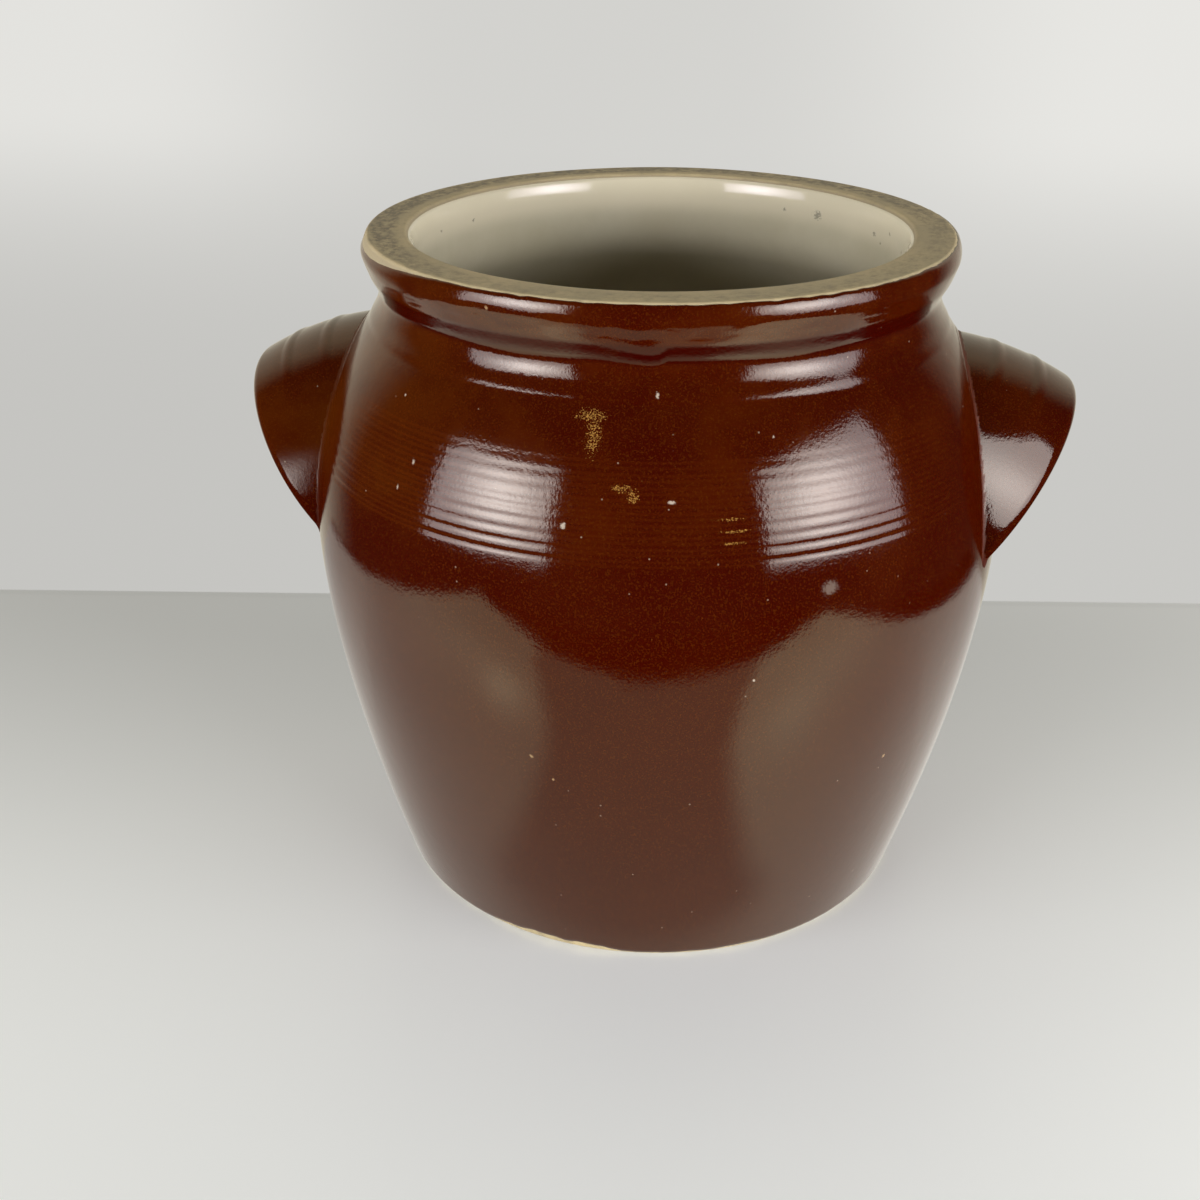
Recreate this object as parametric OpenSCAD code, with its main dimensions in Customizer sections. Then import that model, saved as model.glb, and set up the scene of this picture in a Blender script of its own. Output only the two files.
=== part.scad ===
// Confit pot: a thrown stoneware jar, glazed brown outside and pale inside.
// Two ear handles, each cut from a thrown ring, are luted to its shoulder.
// The flat rim and the foot are bare clay.

/* [Body] */
// Height from the table to the flat rim
pot_height = 250; // [235:1:265]
// Width of the clay at the table, before the foot is rounded
heel_width = 203; // [190:1:212]
// Widest part of the clay wall
belly_width = 259.4; // [250:0.2:272]
// Height of the widest part above the table
belly_height = 141; // [128:1:150]
// Lean of the wall where it leaves the foot, in degrees
heel_slope = 17.5; // [15:0.5:20]
// Lean of the shoulder where it reaches the neck, in degrees
shoulder_slope = 38; // [34:1:42]
// Thickness of the thrown wall at the belly
wall = 10; // [8:0.5:12]
// Thickness of the floor
floor_thickness = 13; // [10:0.5:16]
// Rounding inside, between floor and wall
floor_corner = 18; // [12:1:24]
// Rounding under the edge of the foot
foot_round = 2.5; // [1.5:0.5:3]

/* [Rim and neck] */
// Width over the clay of the rim collar
rim_width = 214.5; // [208:0.5:220]
// Inner width of the clay at the throat, its narrowest place
throat_width = 179; // [172:0.5:184]
// Depth of the throat's top below the rim
throat_drop = 11; // [9:0.5:13]
// Width of the clay in the groove under the collar
neck_width = 201.4; // [196:0.2:206]
// Depth of the neck groove's middle below the rim
neck_drop = 22; // [19:0.5:26]
// Radius of the neck groove
neck_round = 9; // [7:0.5:11]
// Lean of the collar's underside, in degrees
collar_slope = 50; // [40:1:55]
// Rounding of the rim's outer edge
rim_round = 2.5; // [1.5:0.5:3.5]
// Rounding of the rim's inner edge, where the bare clay ends
mouth_round = 2; // [1:0.5:3]
// Rounding of the throat, out to the rim above and into the shoulder below
throat_round = 20; // [17:1:24]

/* [Tool lines] */
// Number of lines turned into the shoulder
line_count = 9; // [3:1:10]
// Height of the lowest line above the widest part
line_rise = 32; // [26:1:36]
// Distance from line to line
line_pitch = 3.6; // [3:0.1:4]
// Width of a line
line_width = 2.4; // [1.6:0.2:2.8]
// Depth of the lowest line, left open by the glaze
line_depth = 0.4; // [0.2:0.05:0.45]
// Depth of the highest line
line_depth_top = 0.2; // [0.1:0.05:0.4]

/* [Glaze] */
// Thickness of both coats of glaze
glaze = 0.6; // [0.5:0.1:0.9]
// Height of bare clay above the table
foot_bare = 2.4; // [2.4:0.2:10]
// How far round the rim's edge the brown glaze reaches, in degrees
rim_glaze_reach = 50; // [30:1:55]

/* [Handles] */
// Width over a handle's free edge
ear_width = 97; // [88:1:104]
// Width of its ring at the far end, inside the wall
ear_root_width = 56; // [48:1:64]
// Length of the ring along its own axis
ear_depth = 66; // [62:1:72]
// Thickness of a handle
ear_wall = 8.4; // [7:0.2:10]
// Slope of the ring's axis below level, in degrees
ear_tilt = 31; // [28:1:34]
// How far the middle of the free edge lies inside the belly's line
ear_inset = 3.5; // [1:0.5:6]
// Depth of the middle of the free edge below the rim
ear_drop = 94; // [88:1:98]
// Distance of the first throwing ridge from the free edge
ridge_start = 13; // [10:0.5:16]
// Distance from ridge to ridge
ridge_pitch = 16; // [13:0.5:18]
// Number of throwing ridges
ridge_count = 2; // [0:1:3]
// Width of a throwing ridge
ridge_width = 10; // [6:0.5:12]
// Height of a throwing ridge
ridge_height = 0.8; // [0.2:0.1:1.2]

/* [Hidden] */

// Colours of the bare clay and of the two glazes
clay_colour = [0.62, 0.56, 0.45];
brown_colour = [0.30, 0.09, 0.03];
pale_colour = [0.74, 0.72, 0.64];

// Facets round the pot and steps along its curves
$fn = 180;
wall_steps = 10;
arc_steps = 6;

// Radii
heel_r = heel_width / 2;
belly_r = belly_width / 2;
rim_r = rim_width / 2;
neck_r = neck_width / 2;
ear_r = ear_width / 2;
ear_root_r = ear_root_width / 2;

// Foot: an arc tangent to the table and to the leaning wall
foot_top_z = foot_round * (1 - sin(heel_slope));
foot_arc_r = heel_r + foot_top_z * tan(heel_slope) - foot_round * cos(heel_slope);
bare_r = heel_r + foot_bare * tan(heel_slope);

// Neck groove and collar: two arcs that meet on the collar's underside
neck_z = pot_height - neck_drop;
neck_arc_r = neck_r + neck_round;
shoulder_r = neck_arc_r - neck_round * cos(shoulder_slope);
shoulder_z = neck_z - neck_round * sin(shoulder_slope);
collar_foot_r = neck_arc_r - neck_round * cos(collar_slope);
collar_foot_z = neck_z + neck_round * sin(collar_slope);
collar_round = (rim_r - collar_foot_r) / (1 - cos(collar_slope));
collar_arc_r = rim_r - collar_round;
collar_arc_z = collar_foot_z + collar_round * sin(collar_slope);

// Inside: the throat's two arcs, the rim's inner edge, and the arc between floor and wall
throat_arc_r = throat_width / 2 + throat_round;
throat_arc_z = pot_height - throat_drop;
mouth_slope = asin((throat_drop - mouth_round) / (throat_round - mouth_round));
mouth_arc_r = throat_arc_r - (throat_round - mouth_round) * cos(mouth_slope);
throat_r = throat_arc_r - throat_round * cos(shoulder_slope);
throat_z = neck_z - throat_round * sin(shoulder_slope);
corner_z = floor_thickness + floor_corner * (1 - sin(heel_slope));
corner_r = lower_r(corner_z) - wall;
corner_arc_r = corner_r - floor_corner * cos(heel_slope);
corner_arc_z = floor_thickness + floor_corner;
hollow_r = belly_r - wall;

// Tool lines
line_bottom = belly_height + line_rise;
line_half = line_width / 2;
line_top = line_bottom + (line_count - 1) * line_pitch;

// Handle: the middle of the free edge, the barrel's radius and the round edges
ear_x = belly_r - ear_inset;
ear_z = pot_height - ear_drop;
ear_narrowing = ear_r - ear_root_r;
barrel_round = (pow(ear_depth, 2) + pow(ear_narrowing, 2)) / (2 * ear_narrowing);
lip_round = ear_wall / 2;
ridge_round = (pow(ridge_width / 2, 2) + pow(ridge_height, 2)) / (2 * ridge_height);

// Radius at height z on a wall that is upright at the belly and leans by slope at its end
function wall_r(z, r_belly, r_end, z_end, slope) =
    let (
        rise = abs(z_end - belly_height),
        power = rise * tan(slope) / (r_belly - r_end),
        share = abs(z - belly_height) / rise
    )
    r_belly - (r_belly - r_end) * pow(share, power);

function lower_r(z) = wall_r(z, belly_r, bare_r, foot_bare, heel_slope);
function upper_r(z) = wall_r(z, belly_r, shoulder_r, shoulder_z, shoulder_slope);
function hollow_lower_r(z) = wall_r(z, hollow_r, corner_r, corner_z, heel_slope);
function hollow_upper_r(z) = wall_r(z, hollow_r, throat_r, throat_z, shoulder_slope);

// Evenly spaced values from a to b, both included
function spread(a, b, steps) = [for (i = [0 : steps]) a + (b - a) * i / steps];
function reversed(list) = [for (i = [len(list) - 1 : -1 : 0]) list[i]];
function without_last(list) = [for (i = [0 : len(list) - 2]) list[i]];

// Points of an arc about [r, z], from angle a to angle b
function arc(r, z, radius, a, b) =
    [for (t = spread(a, b, arc_steps)) [r + radius * cos(t), z + radius * sin(t)]];

// Depth of one tool line, and its three points on the shoulder
function line_cut(i) =
    line_count < 2 ? line_depth
    : line_depth + (line_depth_top - line_depth) * i / (line_count - 1);
function line_points(i, off) =
    let (z = line_bottom + i * line_pitch)
    [
        [upper_r(z - line_half) + off, z - line_half],
        [upper_r(z) + off - line_cut(i), z],
        [upper_r(z + line_half) + off, z + line_half]
    ];

// Points of the plain shoulder from height a up to, but not at, height b
function shoulder_points(a, b, steps, off) =
    [for (z = without_last(spread(a, b, steps))) [upper_r(z) + off, z]];
function lined_shoulder(off) = concat(
    shoulder_points(belly_height, line_bottom - line_half, wall_steps / 2, off),
    [for (i = [0 : line_count - 1]) each line_points(i, off)],
    [for (p = shoulder_points(line_top + line_half, shoulder_z, wall_steps / 2, off))
        if (p[1] > line_top + line_half) p]
);

// Outer line of the wall from the edge of the glaze at the foot to its edge on the rim.
// off stands off the clay, and lined turns the tool lines in.
function outer_line(off, lined) = concat(
    [for (z = without_last(spread(foot_bare, belly_height, wall_steps))) [lower_r(z) + off, z]],
    lined ? lined_shoulder(off) : shoulder_points(belly_height, shoulder_z, wall_steps, off),
    arc(neck_arc_r, neck_z, neck_round - off, 180 + shoulder_slope, 180 - collar_slope),
    [for (p = arc(collar_arc_r, collar_arc_z, collar_round + off, -collar_slope, 0))
        if (p[1] > collar_foot_z) p],
    arc(rim_r - rim_round, pot_height - rim_round, rim_round + off, 0, rim_glaze_reach)
);

// Inner line of the wall from the rim's inner edge to the middle of the floor, off clear of the clay
function inner_line(off) = concat(
    arc(throat_arc_r, throat_arc_z, throat_round + off, 180 - mouth_slope, 180),
    arc(throat_arc_r, neck_z, throat_round + off, 180, 180 + shoulder_slope),
    [for (z = reversed(spread(belly_height, throat_z, wall_steps)))
        if (z < throat_z) [hollow_upper_r(z) - off, z]],
    [for (z = reversed(spread(corner_z, belly_height, wall_steps)))
        if (z < belly_height && z > corner_z) [hollow_lower_r(z) - off, z]],
    arc(corner_arc_r, corner_arc_z, floor_corner - off, -heel_slope, -90),
    [[0, floor_thickness + off]]
);

// Foot and the bare top of the rim
foot_line = concat([[0, 0]], arc(foot_arc_r, foot_round, foot_round, -90, -heel_slope));
rim_line = concat(
    [[rim_r - rim_round, pot_height]],
    without_last(arc(mouth_arc_r, pot_height - mouth_round, mouth_round, 90, 180 - mouth_slope))
);

// Radius of a handle's ring at distance s behind the free edge
function ear_outer_r(s) = ear_r - barrel_round + sqrt(pow(barrel_round, 2) - pow(s, 2));

// The whole of the clay as one filled turning, which the handles are cut against
module filled_turning() {
    rotate_extrude()
        polygon(concat(foot_line, outer_line(0, false), [[0, pot_height]]));
}

// Section of a handle's ring: r across and s along its axis, the free edge at s = 0
module barrel(radius) {
    translate([ear_r - barrel_round, 0])
        circle(r = radius);
}

module ear_wall_section() {
    intersection() {
        difference() {
            barrel(barrel_round);
            barrel(barrel_round - ear_wall);
        }
        translate([0, -ear_depth])
            square([ear_r, ear_depth]);
    }
}

module lip_section() {
    translate([ear_r - lip_round, 0])
        circle(r = lip_round);
}

// Only the low crown of each ridge's circle stands out of the wall
module ridge_section() {
    difference() {
        for (i = [0 : 1 : ridge_count - 1])
            let (s = ridge_start + i * ridge_pitch)
            translate([ear_outer_r(s) + ridge_height - ridge_round, -s])
                circle(r = ridge_round);
        barrel(barrel_round - lip_round);
    }
}

// A thrown ring with a round free edge, tilted to its place on the right
module ear_ring() {
    translate([ear_x, 0, ear_z])
        rotate([0, 90 + ear_tilt, 0])
            rotate_extrude() {
                ear_wall_section();
                lip_section();
                ridge_section();
            }
}

module right_ear() {
    difference() {
        ear_ring();
        filled_turning();
    }
}

// Clay wall, floor, rim collar and foot, thrown in one piece
module thrown_body() {
    color(clay_colour)
        rotate_extrude()
            polygon(concat(foot_line, outer_line(0, false), rim_line, inner_line(0)));
}

// Brown coat on the outside, open where the handles are luted to the clay
module outer_glaze() {
    color(brown_colour)
        difference() {
            rotate_extrude()
                polygon(concat(outer_line(glaze, true), reversed(outer_line(0, false))));
            ear_ring();
            rotate([0, 0, 180])
                ear_ring();
        }
}

// Pale coat on the inside
module liner_glaze() {
    color(pale_colour)
        rotate_extrude()
            polygon(concat(inner_line(glaze), reversed(inner_line(0))));
}

module left_handle() {
    color(brown_colour)
        rotate([0, 0, 180])
            right_ear();
}

module right_handle() {
    color(brown_colour)
        right_ear();
}

thrown_body();
outer_glaze();
liner_glaze();
left_handle();
right_handle();
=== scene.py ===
"""Confit pot: thrown stoneware, brown glaze outside, pale glaze inside, with two ear handles."""

import math

import bpy
import numpy as np
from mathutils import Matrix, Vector


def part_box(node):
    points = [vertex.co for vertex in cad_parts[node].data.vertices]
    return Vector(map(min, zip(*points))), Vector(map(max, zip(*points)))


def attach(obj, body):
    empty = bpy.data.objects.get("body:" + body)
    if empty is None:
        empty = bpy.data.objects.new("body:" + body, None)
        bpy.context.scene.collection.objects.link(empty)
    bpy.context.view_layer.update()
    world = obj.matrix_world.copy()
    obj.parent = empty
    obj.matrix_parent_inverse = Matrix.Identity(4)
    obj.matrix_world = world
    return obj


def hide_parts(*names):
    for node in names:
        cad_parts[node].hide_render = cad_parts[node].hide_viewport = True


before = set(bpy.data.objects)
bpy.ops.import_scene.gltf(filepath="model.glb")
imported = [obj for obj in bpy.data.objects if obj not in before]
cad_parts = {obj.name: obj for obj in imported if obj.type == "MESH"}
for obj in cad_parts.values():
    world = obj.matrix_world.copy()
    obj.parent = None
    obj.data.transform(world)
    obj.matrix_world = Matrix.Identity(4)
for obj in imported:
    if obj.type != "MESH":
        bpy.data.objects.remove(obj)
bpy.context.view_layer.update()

# Driving sizes, in metres and radians, read from the solids where they show them
GLAZE = 0.0006
GLAZE_SINK = 0.0001
POT_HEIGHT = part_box("thrown_body")[1].z
BELLY_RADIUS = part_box("outer_glaze")[1].y - GLAZE
BELLY_Z = 0.141
HEEL_RADIUS = 0.1015
HEEL_SLOPE = math.radians(17.5)
SHOULDER_SLOPE = math.radians(38)
WALL = 0.010
FLOOR_THICKNESS = 0.013
FLOOR_CORNER = 0.018
FOOT_ROUND = 0.0025
FOOT_BARE = 0.0024
RIM_RADIUS = 0.10725
RIM_FACE = 0.0057
RIM_CORNER = 0.0015
RIM_TURN = math.radians(28)
RIM_REACH = math.radians(40)
SHOULDER_RADIUS = 0.1026
SHOULDER_Z = 0.2225
NECK_Z = 0.228
MOUTH_ROUND = 0.002
THROAT_RADIUS = 0.0895
THROAT_DROP = 0.0085
THROAT_ROUND = 0.020

# Neck and collar: height, and lean of the surface in degrees, from the shoulder to the widest place
NECK_CURVE = (
    (0.2165, 37.0), (0.2178, 29.0), (0.2187, 23.5), (0.2197, 27.0), (0.2208, 30.0), (0.2222, 28.0),
    (0.2236, 23.5), (0.2260, 15.0), (0.2281, 6.0), (0.2295, -5.0), (0.2307, -14.0), (0.2317, -24.0),
    (0.2340, -29.0), (0.2358, -30.0), (0.2366, -27.0), (0.2380, -22.0), (0.2420, -19.0), (0.2433, -15.0),
    (0.2443, 0.0),
)

# Tool lines turned into the shoulder
LINE_COUNT = 9
LINE_BOTTOM = BELLY_Z + 0.032
LINE_PITCH = 0.0036
LINE_WIDTH = 0.0030
LINE_DEPTH = 0.00014
LINE_DEPTH_TOP = 0.00002
LINE_STOP = (0.055, 0.076)

# Edges of the brown glaze: its reach round the foot, where it was wiped off, and the rim's worn side, as
# cosines of the turn
FOOT_REACH = math.radians(-22)
EDGE_TAPER = 0.0012
WIPED_AZIMUTH = math.radians(-15)
WIPED_SPREAD = (math.radians(15), math.radians(8))
WIPED_LIFT = 0.0018
FOOT_WANDER = 0.0006
FOOT_EDGE = (0.004, 0.022)
RIM_WANDER = 0.0020
RIM_WEAR = 0.0020
RIM_WORN_SIDE = (-0.55, -0.95)
RIM_EDGE = (POT_HEIGHT - 0.006, POT_HEIGHT - 0.0008)

# Unevenness left by the hand: lobes round the pot, radians per metre of height, phase and depth
WOBBLES = (
    (2, 6.0, 0.3, 0.00024),
    (3, -11.0, 1.9, 0.00018),
    (5, 23.0, 4.0, 0.00008),
    (1, 70.0, 2.2, 0.00006),
)
RIM_DIPS = (
    (2, 0.0, math.pi, 0.00030),
    (5, 0.0, -math.pi / 2, 0.00012),
    (9, 0.0, -math.pi / 2, 0.00006),
)
WOBBLE_RADIUS = (0.02, 0.08)

# Fold under the collar and drips of glaze on it: where they begin, are full and end again
FOLD_TURN = tuple(math.radians(turn) for turn in (264, 275, 275, 277))
FOLD_HEIGHT = (0.2245, 0.2285, 0.2345, 0.2385)
FOLD_DEPTH = 0.0016
DRIP_HEIGHT = (0.2365, 0.2400, 0.2435, 0.2460)
DRIP_DEPTH = 0.00030

# Mesh steps round the pot, and along the section on plain wall, across the tool lines and round the neck
TURN_SEGMENTS = 256
COAT_STEPS = (0.002, 0.0003, 0.0004)
COAT_BACK_STEPS = (0.012, 0.01, 0.002)
CLAY_STEPS = (0.006, 0.004, 0.001)
CLAY_INSIDE_STEP = 0.008
LINER_STEP = 0.003
LINER_BACK_STEP = 0.01
HEEL_TOP_Z = 0.012

# Ear handles: a thrown ring, tilted and cut against the wall
EAR_RADIUS = 0.0485
EAR_ROOT_RADIUS = 0.028
EAR_DEPTH = 0.066
EAR_WALL = 0.0084
EAR_TILT = math.radians(31)
EAR_X = BELLY_RADIUS - 0.0035
EAR_Z = POT_HEIGHT - 0.094
RIDGE_START = 0.013
RIDGE_PITCH = 0.016
RIDGE_COUNT = 2
RIDGE_WIDTH = 0.006
RIDGE_HEIGHT = 0.0004
RIDGE_TOP = (0.032, 0.046)

# Worked-out places on the section of the wall
BARE_RADIUS = HEEL_RADIUS + FOOT_BARE * math.tan(HEEL_SLOPE)
FOOT_TOP_Z = FOOT_ROUND * (1 - math.sin(HEEL_SLOPE))
FOOT_ARC_RADIUS = HEEL_RADIUS + FOOT_TOP_Z * math.tan(HEEL_SLOPE) - FOOT_ROUND * math.cos(HEEL_SLOPE)
THROAT_ARC_RADIUS = THROAT_RADIUS + THROAT_ROUND
THROAT_TOP_Z = POT_HEIGHT - THROAT_DROP
THROAT_END_RADIUS = THROAT_ARC_RADIUS - THROAT_ROUND * math.cos(SHOULDER_SLOPE)
THROAT_END_Z = NECK_Z - THROAT_ROUND * math.sin(SHOULDER_SLOPE)
MOUTH_SLOPE = math.asin((THROAT_DROP - MOUTH_ROUND) / (THROAT_ROUND - MOUTH_ROUND))
MOUTH_ARC_RADIUS = THROAT_ARC_RADIUS - (THROAT_ROUND - MOUTH_ROUND) * math.cos(MOUTH_SLOPE)
RIM_FACE_ROUND = RIM_CORNER + (RIM_FACE - RIM_CORNER) / math.sin(RIM_TURN)
BARREL = (EAR_DEPTH**2 + (EAR_RADIUS - EAR_ROOT_RADIUS) ** 2) / (2 * (EAR_RADIUS - EAR_ROOT_RADIUS))


# Section of the wall

def smooth(value, low, high):
    """Smooth rise from 0 to 1 as value goes from low to high."""
    share = np.clip((value - low) / (high - low), 0, 1)
    return share * share * (3 - 2 * share)


def wall_radius(z, belly, end, end_z, slope):
    """Radius of a wall that is upright at the belly and leans by slope at its end."""
    rise = abs(end_z - BELLY_Z)
    power = rise * math.tan(slope) / (belly - end)
    return belly - (belly - end) * (np.abs(z - BELLY_Z) / rise) ** power


def lower_radius(z):
    return wall_radius(z, BELLY_RADIUS, BARE_RADIUS, FOOT_BARE, HEEL_SLOPE)


def upper_radius(z):
    return wall_radius(z, BELLY_RADIUS, SHOULDER_RADIUS, SHOULDER_Z, SHOULDER_SLOPE)


def draw_neck():
    """Heights and radii of the neck and collar, drawn from their lean and closed on the rim's radius."""
    z = np.linspace(NECK_CURVE[0][0], NECK_CURVE[-1][0], 600)
    lean = np.tan(np.radians(np.interp(z, *zip(*NECK_CURVE))))
    fall = np.concatenate([[0], np.cumsum((lean[1:] + lean[:-1]) / 2 * np.diff(z))])
    drawn = upper_radius(z[0]) - fall
    return z, drawn + (RIM_RADIUS - drawn[-1]) * smooth(z, z[0], z[-1])


NECK_HEIGHTS, NECK_RADII = draw_neck()


def neck_radius(z):
    return np.interp(z, NECK_HEIGHTS, NECK_RADII)


CORNER_Z = FLOOR_THICKNESS + FLOOR_CORNER * (1 - math.sin(HEEL_SLOPE))
CORNER_RADIUS = lower_radius(CORNER_Z) - WALL


def arc(centre, radius, start, end, steps):
    """Points of an arc in the section, from angle start to angle end."""
    turn = np.linspace(start, end, steps + 1)
    return np.stack([centre[0] + radius * np.cos(turn), centre[1] + radius * np.sin(turn)], 1)


def stretch(radius_at, start, end, step):
    """Points of a wall between two heights, the last one left out."""
    count = max(2, math.ceil(abs(end - start) / step))
    z = np.linspace(start, end, count + 1)[:-1]
    return np.stack([radius_at(z), z], 1)


def leave(line, distance):
    """A line moved off the clay by a distance along its normals."""
    run = np.gradient(line, axis=0)
    normal = np.stack([run[:, 1], -run[:, 0]], 1)
    return line + normal / np.linalg.norm(normal, axis=1, keepdims=True) * np.reshape(distance, (-1, 1))


def run_along(line):
    """Distance along a line from its first point."""
    return np.concatenate([[0], np.cumsum(np.linalg.norm(np.diff(line, axis=0), axis=1))])


def rim_arc(start, end, steps):
    """Points of the rim's outer edge, a soft face and then a tight corner, between two leans."""
    face_centre = RIM_RADIUS - RIM_FACE_ROUND
    inset = RIM_FACE_ROUND - RIM_CORNER
    lean = np.linspace(start, end, steps + 1)
    on_face = lean < RIM_TURN
    radius = np.where(on_face, RIM_FACE_ROUND, RIM_CORNER)
    across = face_centre + np.where(on_face, 0, inset * math.cos(RIM_TURN)) + radius * np.cos(lean)
    up = POT_HEIGHT - RIM_FACE + np.where(on_face, 0, inset * math.sin(RIM_TURN)) + radius * np.sin(lean)
    return np.stack([across, up], 1)


def outer_line(step, line_step, neck_step):
    """The clay's outside from the wall's foot up to the edge of the glaze on the rim."""
    line_low = LINE_BOTTOM - LINE_WIDTH
    line_high = LINE_BOTTOM + LINE_COUNT * LINE_PITCH
    return np.concatenate([
        stretch(lower_radius, FOOT_BARE, HEEL_TOP_Z, step / 2),
        stretch(lower_radius, HEEL_TOP_Z, BELLY_Z, step),
        stretch(upper_radius, BELLY_Z, line_low, step),
        stretch(upper_radius, line_low, line_high, line_step),
        stretch(upper_radius, line_high, NECK_HEIGHTS[0], step / 2),
        stretch(neck_radius, NECK_HEIGHTS[0], NECK_HEIGHTS[-1], neck_step),
        rim_arc(0, RIM_REACH, 20),
    ])


def inner_line(step):
    """The clay's inside from the edge of the bare rim to the middle of the floor."""
    corner = (CORNER_RADIUS - FLOOR_CORNER * math.cos(HEEL_SLOPE), FLOOR_THICKNESS + FLOOR_CORNER)
    hollow = BELLY_RADIUS - WALL

    def upper(z):
        return wall_radius(z, hollow, THROAT_END_RADIUS, THROAT_END_Z, SHOULDER_SLOPE)

    def lower(z):
        return wall_radius(z, hollow, CORNER_RADIUS, CORNER_Z, HEEL_SLOPE)

    floor = [[radius, FLOOR_THICKNESS] for radius in np.linspace(corner[0], 0, 12)[1:]]
    turn = math.pi
    return np.concatenate([
        arc((THROAT_ARC_RADIUS, THROAT_TOP_Z), THROAT_ROUND, turn - MOUTH_SLOPE, turn, 14),
        arc((THROAT_ARC_RADIUS, NECK_Z), THROAT_ROUND, turn, turn + SHOULDER_SLOPE, 12),
        stretch(upper, THROAT_END_Z, BELLY_Z, step)[1:],
        stretch(lower, BELLY_Z, CORNER_Z, step),
        arc(corner, FLOOR_CORNER, -HEEL_SLOPE, -math.pi / 2, 10),
        floor,
    ])


def wave_depth(waves, angle, z):
    """Depth of the hand's unevenness, never below zero."""
    total = 0
    for lobes, rate, phase, depth in waves:
        total = total + depth * (0.5 - 0.5 * np.cos(lobes * angle + rate * z + phase))
    return total


# Node helpers

class Nodes:
    """Adds nodes to a tree, feeding each input with a value or with another node's output."""

    def __init__(self, tree):
        self.tree = tree

    def feed(self, socket, value):
        if isinstance(value, bpy.types.NodeSocket):
            self.tree.links.new(value, socket)
        else:
            socket.default_value = value

    def new(self, kind, inputs=(), **settings):
        node = self.tree.nodes.new(kind)
        for name, value in settings.items():
            setattr(node, name, value)
        pairs = inputs.items() if isinstance(inputs, dict) else enumerate(inputs)
        for key, value in pairs:
            self.feed(node.inputs[key], value)
        return node

    def math(self, operation, *values, clamp=False):
        return self.new("ShaderNodeMath", values, operation=operation, use_clamp=clamp).outputs[0]

    def vector(self, operation, *values):
        node = self.new("ShaderNodeVectorMath", values, operation=operation)
        scalar = operation in ("DOT_PRODUCT", "LENGTH")
        return node.outputs["Value" if scalar else "Vector"]

    def times(self, *values):
        """The product of several values."""
        result = values[0]
        for value in values[1:]:
            result = self.math("MULTIPLY", result, value)
        return result

    def split(self, vector):
        return self.new("ShaderNodeSeparateXYZ", [vector]).outputs

    def join(self, *values):
        return self.new("ShaderNodeCombineXYZ", values).outputs[0]

    def steps(self, value, low, high, to_low=0.0, to_high=1.0):
        """Smooth rise from to_low to to_high as value goes from low to high."""
        inputs = {"Value": value, "From Min": low, "From Max": high, "To Min": to_low, "To Max": to_high}
        return self.new("ShaderNodeMapRange", inputs, interpolation_type="SMOOTHSTEP").outputs[0]

    def band(self, value, places):
        """Smooth rise between the first two of four places, and fall between the last two."""
        return self.times(self.steps(value, *places[:2]), self.steps(value, *places[:1:-1]))

    def noise(self, vector, scale, detail, roughness):
        inputs = {"Vector": vector, "Scale": scale, "Detail": detail, "Roughness": roughness}
        return self.new("ShaderNodeTexNoise", inputs).outputs[0]

    def mix(self, factor, first, second):
        node = self.new("ShaderNodeMix", data_type="RGBA")
        for key, value in ((0, factor), (6, first), (7, second)):
            self.feed(node.inputs[key], value)
        return node.outputs[2]

    def most(self, values):
        """The largest of several values."""
        result = values[0]
        for value in values[1:]:
            result = self.math("MAXIMUM", result, value)
        return result

    def waves(self, waves, angle, z):
        """The same depth as wave_depth gives, in nodes."""
        total = 0.0
        for lobes, rate, phase, depth in waves:
            turn = self.math("MULTIPLY_ADD", angle, float(lobes), phase)
            swing = self.math("COSINE", self.math("MULTIPLY_ADD", z, rate, turn))
            total = self.math("ADD", total, self.math("MULTIPLY_ADD", swing, -0.5 * depth, 0.5 * depth))
        return total

    def mark(self, geometry, name, value, data_type="FLOAT"):
        """Geometry with a value stored under a name."""
        node = self.new("GeometryNodeStoreNamedAttribute", data_type=data_type)
        for key, given in (("Geometry", geometry), ("Name", name), ("Value", value)):
            self.feed(node.inputs[key], given)
        return node.outputs[0]

    def named(self, name, data_type="FLOAT"):
        return self.new("GeometryNodeInputNamedAttribute", [name], data_type=data_type).outputs[0]

    def painted(self, name):
        """A value stored on the mesh, read by its finish."""
        return self.new("ShaderNodeAttribute", attribute_name=name).outputs["Fac"]


def colour(red, green, blue):
    return (red, green, blue, 1.0)


def empty_material(name):
    """A material without nodes, and its helper."""
    made = bpy.data.materials.new(name)
    made.use_nodes = True
    made.node_tree.nodes.clear()
    return made, Nodes(made.node_tree)


def new_material(name):
    """A material, its helper, its Principled shader and its Object coordinates."""
    made, nodes = empty_material(name)
    shader = nodes.new("ShaderNodeBsdfPrincipled")
    nodes.new("ShaderNodeOutputMaterial", {"Surface": shader.outputs[0]})
    place = nodes.new("ShaderNodeTexCoord").outputs["Object"]
    return made, nodes, shader, place


def dress(nodes, shader, base, roughness, relief, depth, strength=1.0):
    """Feeds a shader its colour, its roughness and the relief of its skin."""
    bump = nodes.new("ShaderNodeBump", {"Height": relief, "Distance": depth, "Strength": strength})
    nodes.feed(shader.inputs["Base Color"], base)
    nodes.feed(shader.inputs["Roughness"], roughness)
    nodes.feed(shader.inputs["Normal"], bump.outputs[0])


# Finishes

def direction(azimuth, elevation):
    """Unit vector, azimuth in degrees from the front towards the right, elevation above level."""
    a, e = math.radians(azimuth), math.radians(elevation)
    return Vector((math.sin(a) * math.cos(e), -math.cos(a) * math.cos(e), math.sin(e)))


SPOT_DEPTH = 0.02


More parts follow.
